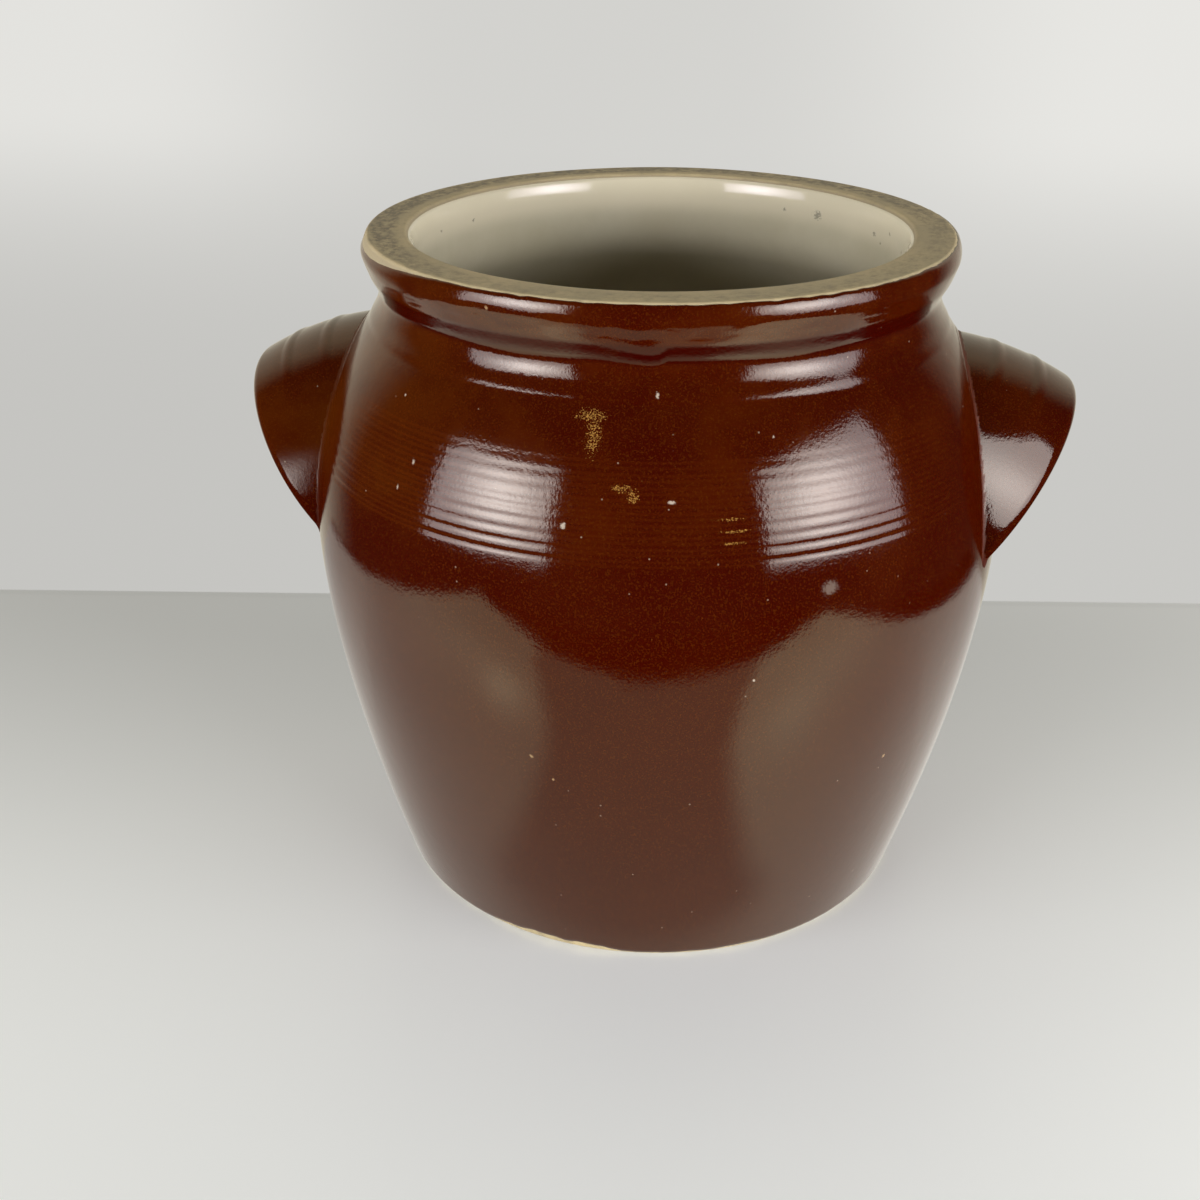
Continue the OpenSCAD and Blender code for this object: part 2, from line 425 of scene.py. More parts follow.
def spot(nodes, place, blur, azimuth, z, radius, wide, tall, ragged=0.9):
    """Ragged spot on the wall, 1 in its middle, at an azimuth and height, half wide and half tall."""
    outward = direction(azimuth, 0)
    across = Vector((-outward.y, outward.x, 0))
    middle = outward * radius + Vector((0, 0, z))
    away = nodes.vector("SUBTRACT", place, tuple(middle))
    along = nodes.math("DIVIDE", nodes.vector("DOT_PRODUCT", away, tuple(across)), wide)
    up = nodes.math("DIVIDE", nodes.vector("DOT_PRODUCT", away, (0.0, 0.0, 1.0)), tall)
    deep = nodes.math("DIVIDE", nodes.vector("DOT_PRODUCT", away, tuple(outward)), SPOT_DEPTH)
    reach = nodes.vector("LENGTH", nodes.join(along, up, deep))
    uneven = nodes.math("MULTIPLY_ADD", blur, 2 * ragged, -ragged)
    return nodes.steps(nodes.math("ADD", reach, uneven), 1.0, 0.35)


# Marks on the brown glaze: azimuth in degrees, height, radius there, half width and half height
GOLD_MARKS = ((-5.4, 0.2145, 0.1093, 0.0066, 0.0026), (-4.7, 0.2095, 0.1122, 0.0036, 0.0085),
              (0.4, 0.1952, 0.1198, 0.0052, 0.0016), (2.0, 0.1928, 0.1209, 0.0026, 0.0030),
              (16.2, 0.1862, 0.1236, 0.0060, 0.0007), (17.0, 0.1826, 0.1249, 0.0070, 0.0007),
              (16.5, 0.1790, 0.1262, 0.0060, 0.0006))
PALE_MARKS = ((5.4, 0.2206, 0.1045, 0.0007, 0.0011), (7.7, 0.1916, 0.1214, 0.0015, 0.0008),
              (-35.6, 0.1923, 0.1211, 0.0007, 0.0011), (19.9, 0.1319, 0.1299, 0.0007, 0.0006),
              (-8.0, 0.1832, 0.1246, 0.0012, 0.0012), (-37.9, 0.1831, 0.1246, 0.0005, 0.0009),
              (24.1, 0.2082, 0.1130, 0.0005, 0.0005), (-42.7, 0.2095, 0.1122, 0.0005, 0.0006))
GREY_MARKS = ((31.1, 0.1610, 0.1293, 0.0034, 0.0030),)
PIN_MARKS = ((-13.4, 0.0975, 0.1260, 0.0008, 0.0008), (-10.1, 0.0889, 0.1246, 0.0007, 0.0007),
             (47.1, 0.0836, 0.1236, 0.0009, 0.0009), (-24.5, 0.2445, 0.1078, 0.0008, 0.0008))
LINER_MARKS = ((140.0, 0.2396, 0.0889, 0.0026, 0.0020), (117.4, 0.2390, 0.0889, 0.0012, 0.0010),
               (109.0, 0.2419, 0.0891, 0.0008, 0.0008), (-119.0, 0.2393, 0.0889, 0.0009, 0.0008),
               (150.4, 0.2396, 0.0889, 0.0008, 0.0007), (98.7, 0.2390, 0.0889, 0.0007, 0.0009),
               (-104.6, 0.2395, 0.0889, 0.0009, 0.0007), (114.0, 0.2367, 0.0889, 0.0006, 0.0006))

# Brown glaze: its colours, and the places where they change, with painted shade in the neck under the
# collar
BROWN_LOW = (colour(0.032, 0.0014, 0.0001), colour(0.036, 0.0022, 0.0001))
BROWN_HIGH = (colour(0.031, 0.0014, 0.0001), colour(0.047, 0.0052, 0.0001))
BROWN_GOLDEN = colour(0.055, 0.0098, 0.0003)
BROWN_GRAIN = colour(0.074, 0.017, 0.001)
BROWN_NECK_SHADE = colour(0.027, 0.0006, 0.0001)
BROWN_GROOVE = colour(0.075, 0.013, 0.0006)
BROWN_SHEEN = colour(1.0, 0.96, 0.62)
GOLD = colour(0.30, 0.155, 0.035)
GREY = colour(0.22, 0.17, 0.14)
PALE_SPECK = colour(0.50, 0.42, 0.34)
PIN_HOLE = colour(0.26, 0.16, 0.08)
DUST = colour(0.36, 0.28, 0.21)
DUST_CELLS = ((75.0, 0.55), (190.0, 0.80))
DUST_REACH = 0.0004
HIGH_TONE_Z = (0.19, 0.26)
GOLDEN_X = (0.0, -0.11)
GOLDEN_Z = (0.160, 0.185)
GROOVE_X = (0.0, -0.09)
NECK_SHADE_Z = (0.2285, 0.2310, 0.2355, 0.2375)


def brown_glaze():
    """Glossy red brown, mottled and grained, with golden, grey and pale marks, and painted shade in the
    neck.
    """
    made, nodes, shader, place = new_material("brown_glaze")
    across, _, height = nodes.split(place)
    mottle = nodes.noise(place, 26.0, 6.0, 0.62)
    grain = nodes.noise(place, 1500.0, 2.0, 0.7)
    rag = nodes.noise(place, 1500.0, 2.0, 0.6)
    cloud = nodes.steps(mottle, 0.35, 0.68)
    low = nodes.mix(cloud, *BROWN_LOW)
    high = nodes.mix(cloud, *BROWN_HIGH)
    rise = nodes.math("MULTIPLY_ADD", mottle, 0.08, height)
    base = nodes.mix(nodes.steps(rise, *HIGH_TONE_Z), low, high)
    golden = nodes.times(
        nodes.steps(across, *GOLDEN_X),
        nodes.steps(height, *GOLDEN_Z),
        nodes.steps(mottle, 0.34, 0.62, 0.25, 0.95),
    )
    base = nodes.mix(golden, base, BROWN_GOLDEN)
    base = nodes.mix(nodes.steps(grain, 0.50, 0.70, 0.0, 0.55), base, BROWN_GRAIN)
    # Painted shade in the neck, under the collar's overhang
    base = nodes.mix(nodes.times(nodes.band(height, NECK_SHADE_Z), 0.95), base, BROWN_NECK_SHADE)
    groove = nodes.times(nodes.painted("groove"), nodes.steps(across, *GROOVE_X, 0.7, 1.8))
    base = nodes.mix(groove, base, BROWN_GROOVE)

    def marks(places):
        return nodes.most([spot(nodes, place, rag, *values) for values in places])

    dots = nodes.math("MULTIPLY_ADD", marks(GOLD_MARKS), 0.30, nodes.noise(place, 2300.0, 1.0, 0.5))
    base = nodes.mix(nodes.steps(dots, 0.78, 0.87, 0.0, 0.85), base, GOLD)
    base = nodes.mix(nodes.times(marks(GREY_MARKS), 0.5), base, GREY)
    base = nodes.mix(nodes.times(marks(PALE_MARKS), 0.7), base, PALE_SPECK)
    base = nodes.mix(marks(PIN_MARKS), base, PIN_HOLE)
    for scale, share in DUST_CELLS:
        cells = nodes.new("ShaderNodeTexVoronoi", {"Vector": place, "Scale": scale}).outputs
        chosen = nodes.math("GREATER_THAN", nodes.split(cells["Color"])[0], share)
        reach = DUST_REACH * scale
        fleck = nodes.steps(cells["Distance"], reach, 0.4 * reach, 0.0, 0.5)
        base = nodes.mix(nodes.times(fleck, chosen), base, DUST)
    gloss = nodes.steps(mottle, 0.3, 0.8, 0.06, 0.11)
    dull = nodes.math("MULTIPLY_ADD", nodes.painted("joint"), 0.5, gloss)
    peel = nodes.math("ADD", nodes.noise(place, 850.0, 2.0, 0.6), nodes.noise(place, 160.0, 1.0, 0.5))
    dress(nodes, shader, base, dull, peel, 0.00004)
    shader.inputs["IOR"].default_value = 1.55
    shader.inputs["Specular Tint"].default_value = BROWN_SHEEN
    return made


# Pale glaze of the liner, with painted light at the top of the throat and painted shade deeper in
LINER_CREAM = (colour(0.52, 0.47, 0.34), colour(0.58, 0.53, 0.40))
LINER_PAINTED_LIGHT = colour(0.68, 0.61, 0.46)
LINER_PAINTED_SHADE = colour(0.42, 0.37, 0.26)
LINER_SPECK = colour(0.10, 0.095, 0.08)
LINER_SHEEN = colour(1.0, 0.96, 0.75)
LINER_LIGHT_Z = (0.233, 0.240)
LINER_SHADE_Z = (0.235, 0.195)


def pale_glaze():
    """Glossy cream with a few dark specks, with painted light on the roll of the throat and painted shade
    below it.
    """
    made, nodes, shader, place = new_material("pale_glaze")
    cloud = nodes.noise(place, 30.0, 4.0, 0.6)
    rag = nodes.noise(place, 1500.0, 3.0, 0.6)
    height = nodes.split(place)[2]
    base = nodes.mix(nodes.steps(cloud, 0.3, 0.75), *LINER_CREAM)
    # Painted light on the roll of the throat, and painted shade deeper inside the pot
    base = nodes.mix(nodes.steps(height, *LINER_LIGHT_Z, 0.0, 0.7), base, LINER_PAINTED_LIGHT)
    base = nodes.mix(nodes.steps(height, *LINER_SHADE_Z, 0.0, 0.3), base, LINER_PAINTED_SHADE)
    marks = nodes.most([spot(nodes, place, rag, *values, ragged=1.6) for values in LINER_MARKS])
    base = nodes.mix(nodes.times(marks, 0.6), base, LINER_SPECK)
    gloss = nodes.steps(cloud, 0.3, 0.8, 0.06, 0.11)
    dress(nodes, shader, base, gloss, nodes.noise(place, 260.0, 2.0, 0.5), 0.00003)
    shader.inputs["IOR"].default_value = 1.5
    shader.inputs["Specular Tint"].default_value = LINER_SHEEN
    return made


# Bare clay of the rim and the foot, with painted shade on the rim's outer face
CLAY_TAN = (colour(0.40, 0.322, 0.177), colour(0.53, 0.425, 0.232))
CLAY_DIRT = colour(0.15, 0.125, 0.072)
CLAY_SMEAR = colour(0.22, 0.18, 0.115)
CLAY_EDGE = colour(0.43, 0.35, 0.205)
CLAY_RIM_SHADE = colour(0.24, 0.195, 0.12)
CLAY_GRIT = colour(0.14, 0.115, 0.08)
DIRT_RADIUS = (0.0965, 0.1005, 0.1060, 0.1085)
DIRT_BEHIND = (-0.09, 0.03)
EDGE_RADIUS = (0.1080, 0.1090)
RIM_SHADE_Z = (0.2498, 0.2486)
RIM_SHADE_ABOVE = 0.1


def bare_clay():
    """Dull tan clay, soiled and smeared round the rim, with painted shade on the rim's outer face."""
    made, nodes, shader, place = new_material("bare_clay")
    across, along, up = nodes.split(place)
    flat = nodes.join(across, along)
    radius = nodes.vector("LENGTH", flat)
    turn_x, turn_y, _ = nodes.split(nodes.vector("NORMALIZE", flat))
    smeared = nodes.join(nodes.times(turn_x, 24.0), nodes.times(turn_y, 24.0), nodes.times(radius, 520.0))
    smear = nodes.noise(smeared, 1.0, 5.0, 0.65)
    cloud = nodes.noise(place, 55.0, 6.0, 0.65)
    grit = nodes.noise(place, 900.0, 3.0, 0.7)
    speckle = nodes.noise(place, 330.0, 5.0, 0.75)
    mixed = nodes.math("MULTIPLY_ADD", speckle, 1.1, nodes.times(smear, 0.9))
    patchy = nodes.math("MULTIPLY_ADD", cloud, 0.006, radius)
    behind = nodes.steps(nodes.math("MULTIPLY_ADD", across, -0.5, along), *DIRT_BEHIND, 0.35, 1.0)
    dirt = nodes.times(nodes.band(patchy, DIRT_RADIUS), nodes.steps(mixed, 0.80, 1.20, 0.1, 0.9), behind)
    # Painted shade on the rim's outer face, below its flat top
    on_rim = nodes.math("GREATER_THAN", up, RIM_SHADE_ABOVE)
    rim_shade = nodes.times(nodes.steps(up, *RIM_SHADE_Z, 0.0, 0.75), on_rim)
    base = nodes.mix(nodes.steps(cloud, 0.32, 0.7), *CLAY_TAN)
    base = nodes.mix(dirt, base, CLAY_DIRT)
    base = nodes.mix(nodes.steps(mixed, 1.02, 1.30, 0.0, 0.35), base, CLAY_SMEAR)
    base = nodes.mix(nodes.steps(patchy, *EDGE_RADIUS, 0.0, 0.35), base, CLAY_EDGE)
    base = nodes.mix(rim_shade, base, CLAY_RIM_SHADE)
    base = nodes.mix(nodes.steps(grit, 0.6, 0.78, 0.0, 0.5), base, CLAY_GRIT)
    relief = nodes.math("ADD", grit, nodes.times(smear, 1.2))
    dress(nodes, shader, base, nodes.steps(cloud, 0.3, 0.8, 0.65, 0.85), relief, 0.00015, 0.6)
    return made


BROWN = brown_glaze()
PALE = pale_glaze()
CLAY = bare_clay()


# Turned pieces

TURNING_SIZES = {
    "Lowest Line": LINE_BOTTOM, "Line Pitch": LINE_PITCH, "Line Width": LINE_WIDTH,
    "Line Depth": LINE_DEPTH, "Top Line Depth": LINE_DEPTH_TOP, "Line End": LINE_STOP[0],
    "Line Start": LINE_STOP[1], "Wiped Lift": WIPED_LIFT, "Foot Wander": FOOT_WANDER,
    "Rim Wander": RIM_WANDER, "Rim Wear": RIM_WEAR, "Drip Depth": DRIP_DEPTH, "Fold Depth": FOLD_DEPTH,
}
TURNING_SOCKETS = {"Section": "Geometry", "Segments": "Int", "Line Count": "Int", "Finish": "Material"}


def press_lines(nodes, given, height, shown):
    """How deep the tool lines are pressed in at a height, and a mark on their flanks."""
    last = nodes.math("SUBTRACT", given["Line Count"], 1.0)
    rise = nodes.math("SUBTRACT", height, given["Lowest Line"])
    nearest = nodes.math("ROUND", nodes.math("DIVIDE", rise, given["Line Pitch"]))
    line = nodes.math("MAXIMUM", nodes.math("MINIMUM", nearest, last), 0.0)
    away = nodes.math("SUBTRACT", rise, nodes.times(line, given["Line Pitch"]))
    share = nodes.math("DIVIDE", away, nodes.times(given["Line Width"], 0.5))
    dip = nodes.math("SUBTRACT", 1.0, nodes.times(share, share), clamp=True)
    dip = nodes.times(dip, dip)
    flank = nodes.times(shown, dip, nodes.math("SUBTRACT", 1.0, dip))
    fade = nodes.math("DIVIDE", line, nodes.math("MAXIMUM", last, 1.0))
    change = nodes.math("SUBTRACT", given["Top Line Depth"], given["Line Depth"])
    depth = nodes.math("MULTIPLY_ADD", change, fade, given["Line Depth"])
    return nodes.times(dip, shown, depth), flank


def stray_edges(nodes, given, around, cosine):
    """How far the glaze's edge lifts at the foot, strays on the rim, and wears down at the rim's left."""
    rough = nodes.noise(around, 7.0, 5.0, 0.6)
    wiped_side = (math.sin(WIPED_AZIMUTH), -math.cos(WIPED_AZIMUTH), 0.0)
    facing = nodes.vector("DOT_PRODUCT", around, wiped_side)
    wiped = nodes.steps(facing, math.cos(WIPED_SPREAD[0]), math.cos(WIPED_SPREAD[1]))
    lift = nodes.times(wiped, given["Wiped Lift"], nodes.steps(rough, 0.25, 0.7, 0.5, 1.2))
    lift = nodes.math("ADD", lift, nodes.times(given["Foot Wander"], nodes.steps(rough, 0.4, 0.75)))
    swing = nodes.math("SUBTRACT", nodes.noise(around, 20.0, 5.0, 0.65), 0.5)
    rim_edge = nodes.named("rim_edge")
    shift = nodes.times(swing, given["Rim Wander"], nodes.math("POWER", rim_edge, 4.0))
    wear = nodes.times(rim_edge, nodes.steps(cosine, *RIM_WORN_SIDE, 0.0, given["Rim Wear"]))
    return nodes.times(lift, nodes.named("foot_edge")), shift, wear


def hand_marks(nodes, given, angle, cosine, sine, height, outside):
    """How deep the drips press into the collar, and how far the fold under it and the rim's dips sink."""
    drip_place = nodes.join(cosine, sine, nodes.times(height, 14.0))
    drip = nodes.times(
        nodes.steps(nodes.noise(drip_place, 11.0, 2.0, 0.5), 0.42, 0.66),
        nodes.band(height, DRIP_HEIGHT),
        nodes.steps(nodes.math("ABSOLUTE", sine), 0.5, 0.9, 0.3, 1.0),
        outside,
        given["Drip Depth"],
    )
    fold = nodes.times(nodes.band(angle, FOLD_TURN), nodes.band(height, FOLD_HEIGHT), outside)
    fold = nodes.times(fold, given["Fold Depth"])
    sag = nodes.times(nodes.waves(RIM_DIPS, angle, height), nodes.steps(height, NECK_Z, POT_HEIGHT))
    return drip, nodes.math("ADD", fold, sag)


def turning_tree():
    """Geometry nodes that turn a section round the axis, with tool lines and the hand's unevenness."""
    tree = bpy.data.node_groups.new("turning", "GeometryNodeTree")
    for name, kind in {**TURNING_SOCKETS, **dict.fromkeys(TURNING_SIZES, "Float")}.items():
        tree.interface.new_socket(name, in_out="INPUT", socket_type="NodeSocket" + kind)
    tree.interface.new_socket("Turned", in_out="OUTPUT", socket_type="NodeSocketGeometry")
    nodes = Nodes(tree)
    given = nodes.new("NodeGroupInput").outputs
    index = nodes.new("GeometryNodeInputIndex").outputs[0]
    position = nodes.new("GeometryNodeInputPosition").outputs[0]

    # The section swept round a circle, where each point keeps its place in the section and its turn
    section = nodes.mark(given["Section"], "section", position, "FLOAT_VECTOR")
    profile = nodes.new("GeometryNodeMeshToCurve", [section]).outputs[0]
    circle = nodes.new("GeometryNodeCurvePrimitiveCircle", {"Resolution": given["Segments"]}).outputs[0]
    step = nodes.math("DIVIDE", 2 * math.pi, given["Segments"])
    turned = nodes.mark(circle, "turn", nodes.times(index, step))
    swept = nodes.new("GeometryNodeCurveToMesh", [turned, profile]).outputs[0]
    angle = nodes.named("turn")
    outside = nodes.named("outside")
    radius, _, height = nodes.split(nodes.named("section", "FLOAT_VECTOR"))
    sine = nodes.math("SINE", angle)
    cosine = nodes.math("COSINE", angle)

    # What moves the points: tool lines that die out beside the ears, edges of the glaze, the hand
    beside = nodes.math("ABSOLUTE", nodes.times(radius, sine))
    clear = nodes.steps(beside, given["Line End"], given["Line Start"])
    pressed, flank = press_lines(nodes, given, height, nodes.times(outside, clear))
    lift, shift, wear = stray_edges(nodes, given, nodes.join(cosine, sine), cosine)
    drip, sunk = hand_marks(nodes, given, angle, cosine, sine, height, outside)
    uneven = nodes.times(nodes.waves(WOBBLES, angle, height), nodes.steps(radius, *WOBBLE_RADIUS))

    # The points in their new places
    radius_now = nodes.math("SUBTRACT", radius, pressed)
    radius_now = nodes.math("MULTIPLY_ADD", lift, math.tan(HEEL_SLOPE), radius_now)
    radius_now = nodes.math("MULTIPLY_ADD", shift, -math.sin(RIM_REACH), radius_now)
    radius_now = nodes.math("SUBTRACT", radius_now, uneven)
    radius_now = nodes.math("SUBTRACT", radius_now, drip)
    height_now = nodes.math("SUBTRACT", nodes.math("ADD", height, lift), wear)
    height_now = nodes.math("MULTIPLY_ADD", shift, math.cos(RIM_REACH), height_now)
    height_now = nodes.math("SUBTRACT", height_now, sunk)
    place = nodes.join(nodes.times(radius_now, cosine), nodes.times(radius_now, sine), height_now)
    placed = nodes.new("GeometryNodeSetPosition", {"Geometry": swept, "Position": place}).outputs[0]
    marked = nodes.mark(placed, "groove", flank)
    closed = nodes.new("GeometryNodeMergeByDistance", {"Geometry": marked, "Distance": 1e-6}).outputs[0]
    smoothed = nodes.new("GeometryNodeSetShadeSmooth", [closed]).outputs[0]
    realized = nodes.new("GeometryNodeRealizeInstances", [smoothed]).outputs[0]
    finished = nodes.new("GeometryNodeSetMaterial", {"Geometry": realized, "Material": given["Finish"]})
    nodes.new("NodeGroupOutput", [finished.outputs[0]])
    return tree


TURNING = turning_tree()


def apply_tree(piece, tree, values):
    """Runs a tree on a piece with named inputs, and keeps the result as a plain mesh."""
    modifier = piece.modifiers.new(tree.name, "NODES")
    modifier.node_group = tree
    for item in tree.interface.items_tree:
        if item.in_out == "INPUT" and item.name in values:
            modifier[item.identifier] = values[item.name]
    graph = bpy.context.evaluated_depsgraph_get()
    mesh = bpy.data.meshes.new_from_object(piece.evaluated_get(graph))
    piece.modifiers.clear()
    piece.data = mesh
    return piece


def new_piece(name, data):
    """An object of the scene, at the origin."""
    piece = bpy.data.objects.new(name, data)
    bpy.context.scene.collection.objects.link(piece)
    return piece


def turned_piece(name, section, closed, finish, **weights):
    """A piece turned from its section. weights mark the points that lines press or edges move."""
    count = len(section)
    mesh = bpy.data.meshes.new(name)
    ends = [[i, i + 1] for i in range(count - 1)] + ([[count - 1, 0]] if closed else [])
    mesh.from_pydata([(r, 0.0, z) for r, z in section], ends, [])
    for mark in ("outside", "foot_edge", "rim_edge"):
        weight = mesh.attributes.new(mark, "FLOAT", "POINT")
        weight.data.foreach_set("value", np.asarray(weights.get(mark, np.zeros(count)), np.float32))
    given = {"Segments": TURN_SEGMENTS, "Line Count": LINE_COUNT, "Finish": finish, **TURNING_SIZES}
    return apply_tree(new_piece(name, mesh), TURNING, given)


def coat_line(step, line_step, neck_step):
    """The clay's outside from under the foot, all that the brown coat covers."""
    foot = arc((FOOT_ARC_RADIUS, FOOT_ROUND), FOOT_ROUND, FOOT_REACH, -HEEL_SLOPE, 3)
    return np.concatenate([foot, outer_line(step, line_step, neck_step)])


def round_off(share):
    """Thickness of a coat near its edge, as a share of the whole."""
    return np.sqrt(np.clip(1 - (1 - np.clip(share, 0, 1)) ** 2, 0, 1))


def make_brown_coat():
    """The brown glaze, a closed coat with round edges, let a little into the clay."""
    line = coat_line(*COAT_STEPS)
    run = run_along(line)
    outer = leave(line, GLAZE * round_off(np.minimum(run, run[-1] - run) / EDGE_TAPER))
    inner = leave(coat_line(*COAT_BACK_STEPS), -GLAZE_SINK)[::-1]
    section = np.concatenate([outer, inner])
    return turned_piece(
        "brown_coat", section, True, BROWN,
        outside=np.concatenate([np.ones(len(outer)), np.zeros(len(inner))]),
        foot_edge=1 - smooth(section[:, 1], *FOOT_EDGE),
        rim_edge=smooth(section[:, 1], *RIM_EDGE),
    )


def make_pale_liner():
    """The pale glaze inside, down to the middle of the floor."""
    line = inner_line(LINER_STEP)
    outer = leave(line, GLAZE * round_off(run_along(line) / EDGE_TAPER))
    section = np.concatenate([outer, leave(inner_line(LINER_BACK_STEP), -GLAZE_SINK)[::-1]])
    return turned_piece("pale_liner", section, False, PALE)


def make_clay_pot():
    """The thrown pot under its glazes, bare on the rim and under the foot."""
    foot = np.concatenate([
        [[radius, 0.0] for radius in np.linspace(0, FOOT_ARC_RADIUS, 12)[:-1]],
        arc((FOOT_ARC_RADIUS, FOOT_ROUND), FOOT_ROUND, -math.pi / 2, -HEEL_SLOPE, 8),
    ])
    corner = rim_arc(RIM_REACH, math.pi / 2, 8)
    flat = np.linspace(corner[-1, 0], MOUTH_ARC_RADIUS, 12)[1:-1]
    mouth = (MOUTH_ARC_RADIUS, POT_HEIGHT - MOUTH_ROUND)
    rim = np.concatenate([
        corner[1:],
        [[radius, POT_HEIGHT] for radius in flat],
        arc(mouth, MOUTH_ROUND, math.pi / 2, math.pi - MOUTH_SLOPE, 6)[:-1],
    ])
    section = np.concatenate([foot, outer_line(*CLAY_STEPS), rim, inner_line(CLAY_INSIDE_STEP)])
    return turned_piece("clay_pot", section, False, CLAY)


# Ear handles

EAR_CENTRE = np.array([EAR_X, 0.0, EAR_Z])
EAR_AXIS = np.array([math.cos(EAR_TILT), 0.0, -math.sin(EAR_TILT)])
EAR_UP = np.array([math.sin(EAR_TILT), 0.0, math.cos(EAR_TILT)])

# The box and grid in which an ear's skin is sought, the clay that lutes it to the wall, and the welt there
EAR_LOW = np.array([0.084, -0.066, 0.098])
EAR_HIGH = np.array([0.157, 0.066, 0.224])
EAR_GRID = 0.0008
LUTING_OUTSIDE = 0.0008
LUTING_INSIDE = 0.004
LUTING_SINK = 0.00006
SKIRT_DEPTH = 0.0012
SKIRT_REACH = 0.0012
WELT_AWAY = 0.0012
WELT_WIDTH = 0.0007
WELT_HEIGHT = 0.0003
WELT_REACH = 0.002
WELT_Z = (EAR_Z + 0.022, EAR_Z + 0.036)
WALL_PROBE = 0.0005
FIELD_PROBE = 0.00005


def clay_radius(z):
    """Radius of the clay's outside from the foot up to the collar."""
    upper = np.where(z < NECK_HEIGHTS[0], upper_radius(np.clip(z, BELLY_Z, SHOULDER_Z)), neck_radius(z))
    return np.where(z < BELLY_Z, lower_radius(np.minimum(z, BELLY_Z)), upper)


def wall_distance(points, half_turn):
    """Distance outside the coated wall, along its normal."""
    x, y, z = points.T
    lean = (clay_radius(z + WALL_PROBE) - clay_radius(z - WALL_PROBE)) / (2 * WALL_PROBE)
    angle = np.arctan2(y, x) + (math.pi if half_turn else 0)
    clay = clay_radius(z) - wave_depth(WOBBLES, angle, z)
    return (np.hypot(x, y) - clay) / np.sqrt(1 + lean**2) - GLAZE


def ring_distance(points):
    """Distance outside the thrown ring, and how far outside the middle of its wall."""
    away = points - EAR_CENTRE
    depth = -(away @ EAR_AXIS)
    spread = np.hypot(away @ EAR_UP, away[:, 1])
    middle = np.hypot(spread - (EAR_RADIUS - BARREL), depth) - (BARREL - EAR_WALL / 2)
    wall = np.abs(middle) - EAR_WALL / 2
    crest = RIDGE_HEIGHT * smooth(away @ EAR_UP, *RIDGE_TOP) * (middle > 0)
    for i in range(RIDGE_COUNT):
        share = (depth - RIDGE_START - i * RIDGE_PITCH) / (RIDGE_WIDTH / 2)
        wall -= crest * np.clip(1 - share**2, 0, 1) ** 2
    lip = np.hypot(spread - (EAR_RADIUS - EAR_WALL / 2), depth) - EAR_WALL / 2
    return np.where(depth > 0, wall, lip), middle


def ear_parts(points, half_turn):
    """Distances outside the ring and the wall, how far outside the ring's wall, and the fillet's radius."""
    ring, middle = ring_distance(points)
    outer_share = np.clip(middle / EAR_WALL + 0.5, 0, 1)
    luting = LUTING_INSIDE + (LUTING_OUTSIDE - LUTING_INSIDE) * outer_share
    return ring, wall_distance(points, half_turn), outer_share, luting


def joint_share(points, half_turn):
    """1 on the fillet between the ring and the wall, 0 away from it."""
    ring, wall, _, luting = ear_parts(points, half_turn)
    both = np.clip(1 - ring / luting, 0, 1) * np.clip(1 - wall / luting, 0, 1)
    return smooth(both, 0.02, 0.15) * (ring > 0)


def ear_field(points, half_turn):
    """Below zero inside an ear: its ring, the fillet that lutes it to the wall, and a sunken skirt."""
    ring, wall, outer_share, luting = ear_parts(points, half_turn)
    near_ring = np.maximum(luting - ring, 0)
    near_wall = np.maximum(luting - wall - LUTING_SINK, 0)
    joined = np.maximum(luting, np.minimum(ring, wall + LUTING_SINK)) - np.hypot(near_ring, near_wall)
    welt = np.exp(-(((ring - WELT_AWAY) / WELT_WIDTH) ** 2) - (wall / WELT_REACH) ** 2)
    joined -= WELT_HEIGHT * welt * outer_share * smooth(points[:, 2], *WELT_Z)
    return np.maximum(joined, np.maximum(ring - luting - SKIRT_REACH, -wall - SKIRT_DEPTH))


def slope_of(field, points):
    """Gradient of a field by central differences."""
    steps = np.eye(3) * FIELD_PROBE
    return np.stack([(field(points + s) - field(points - s)) / (2 * FIELD_PROBE) for s in steps], 1)


def pull_to_skin(field, points, rounds, longest):
    """Moves points along the gradient on to the skin where the field is zero."""
    for _ in range(rounds):
        slope = slope_of(field, points)
        move = slope * (field(points) / np.maximum((slope**2).sum(1), 1e-6))[:, None]
        length = np.linalg.norm(move, axis=1, keepdims=True)
        points = points - move * np.minimum(1, longest / np.maximum(length, 1e-12))
    return points


def skin_of(field, low, high, grid):
    """Points and quads of the closed skin where a field is zero, one point in each mixed cell."""
    counts = np.ceil((high - low) / grid).astype(int) + 1
    axes = [low[i] + grid * np.arange(counts[i]) for i in range(3)]
    lattice = np.stack(np.meshgrid(*axes, indexing="ij"), -1).reshape(-1, 3)
    inside = (field(lattice) < 0).reshape(counts)
    held = np.zeros(counts - 1, int)
    for corner in np.ndindex(2, 2, 2):
        held += inside[tuple(slice(c, c + n - 1) for c, n in zip(corner, counts))]
    mixed = (held > 0) & (held < 8)
    number = np.full(counts - 1, -1)
    number[mixed] = np.arange(mixed.sum())
    points = low + grid * (np.argwhere(mixed) + 0.5)
    quads = []
    for axis in range(3):
        first = np.moveaxis(inside, axis, 0)
        cells = np.moveaxis(number, axis, 0)
        crossed = np.argwhere(first[:-1, 1:-1, 1:-1] != first[1:, 1:-1, 1:-1])
        i, j, k = crossed.T
        corners = (cells[i, j, k], cells[i, j + 1, k], cells[i, j + 1, k + 1], cells[i, j, k + 1])
        ring = np.stack(corners, 1)
        turned = first[i, j + 1, k + 1] == (axis == 1)
        ring[turned] = ring[turned][:, ::-1]
        quads.append(ring)
    return points, np.concatenate(quads)


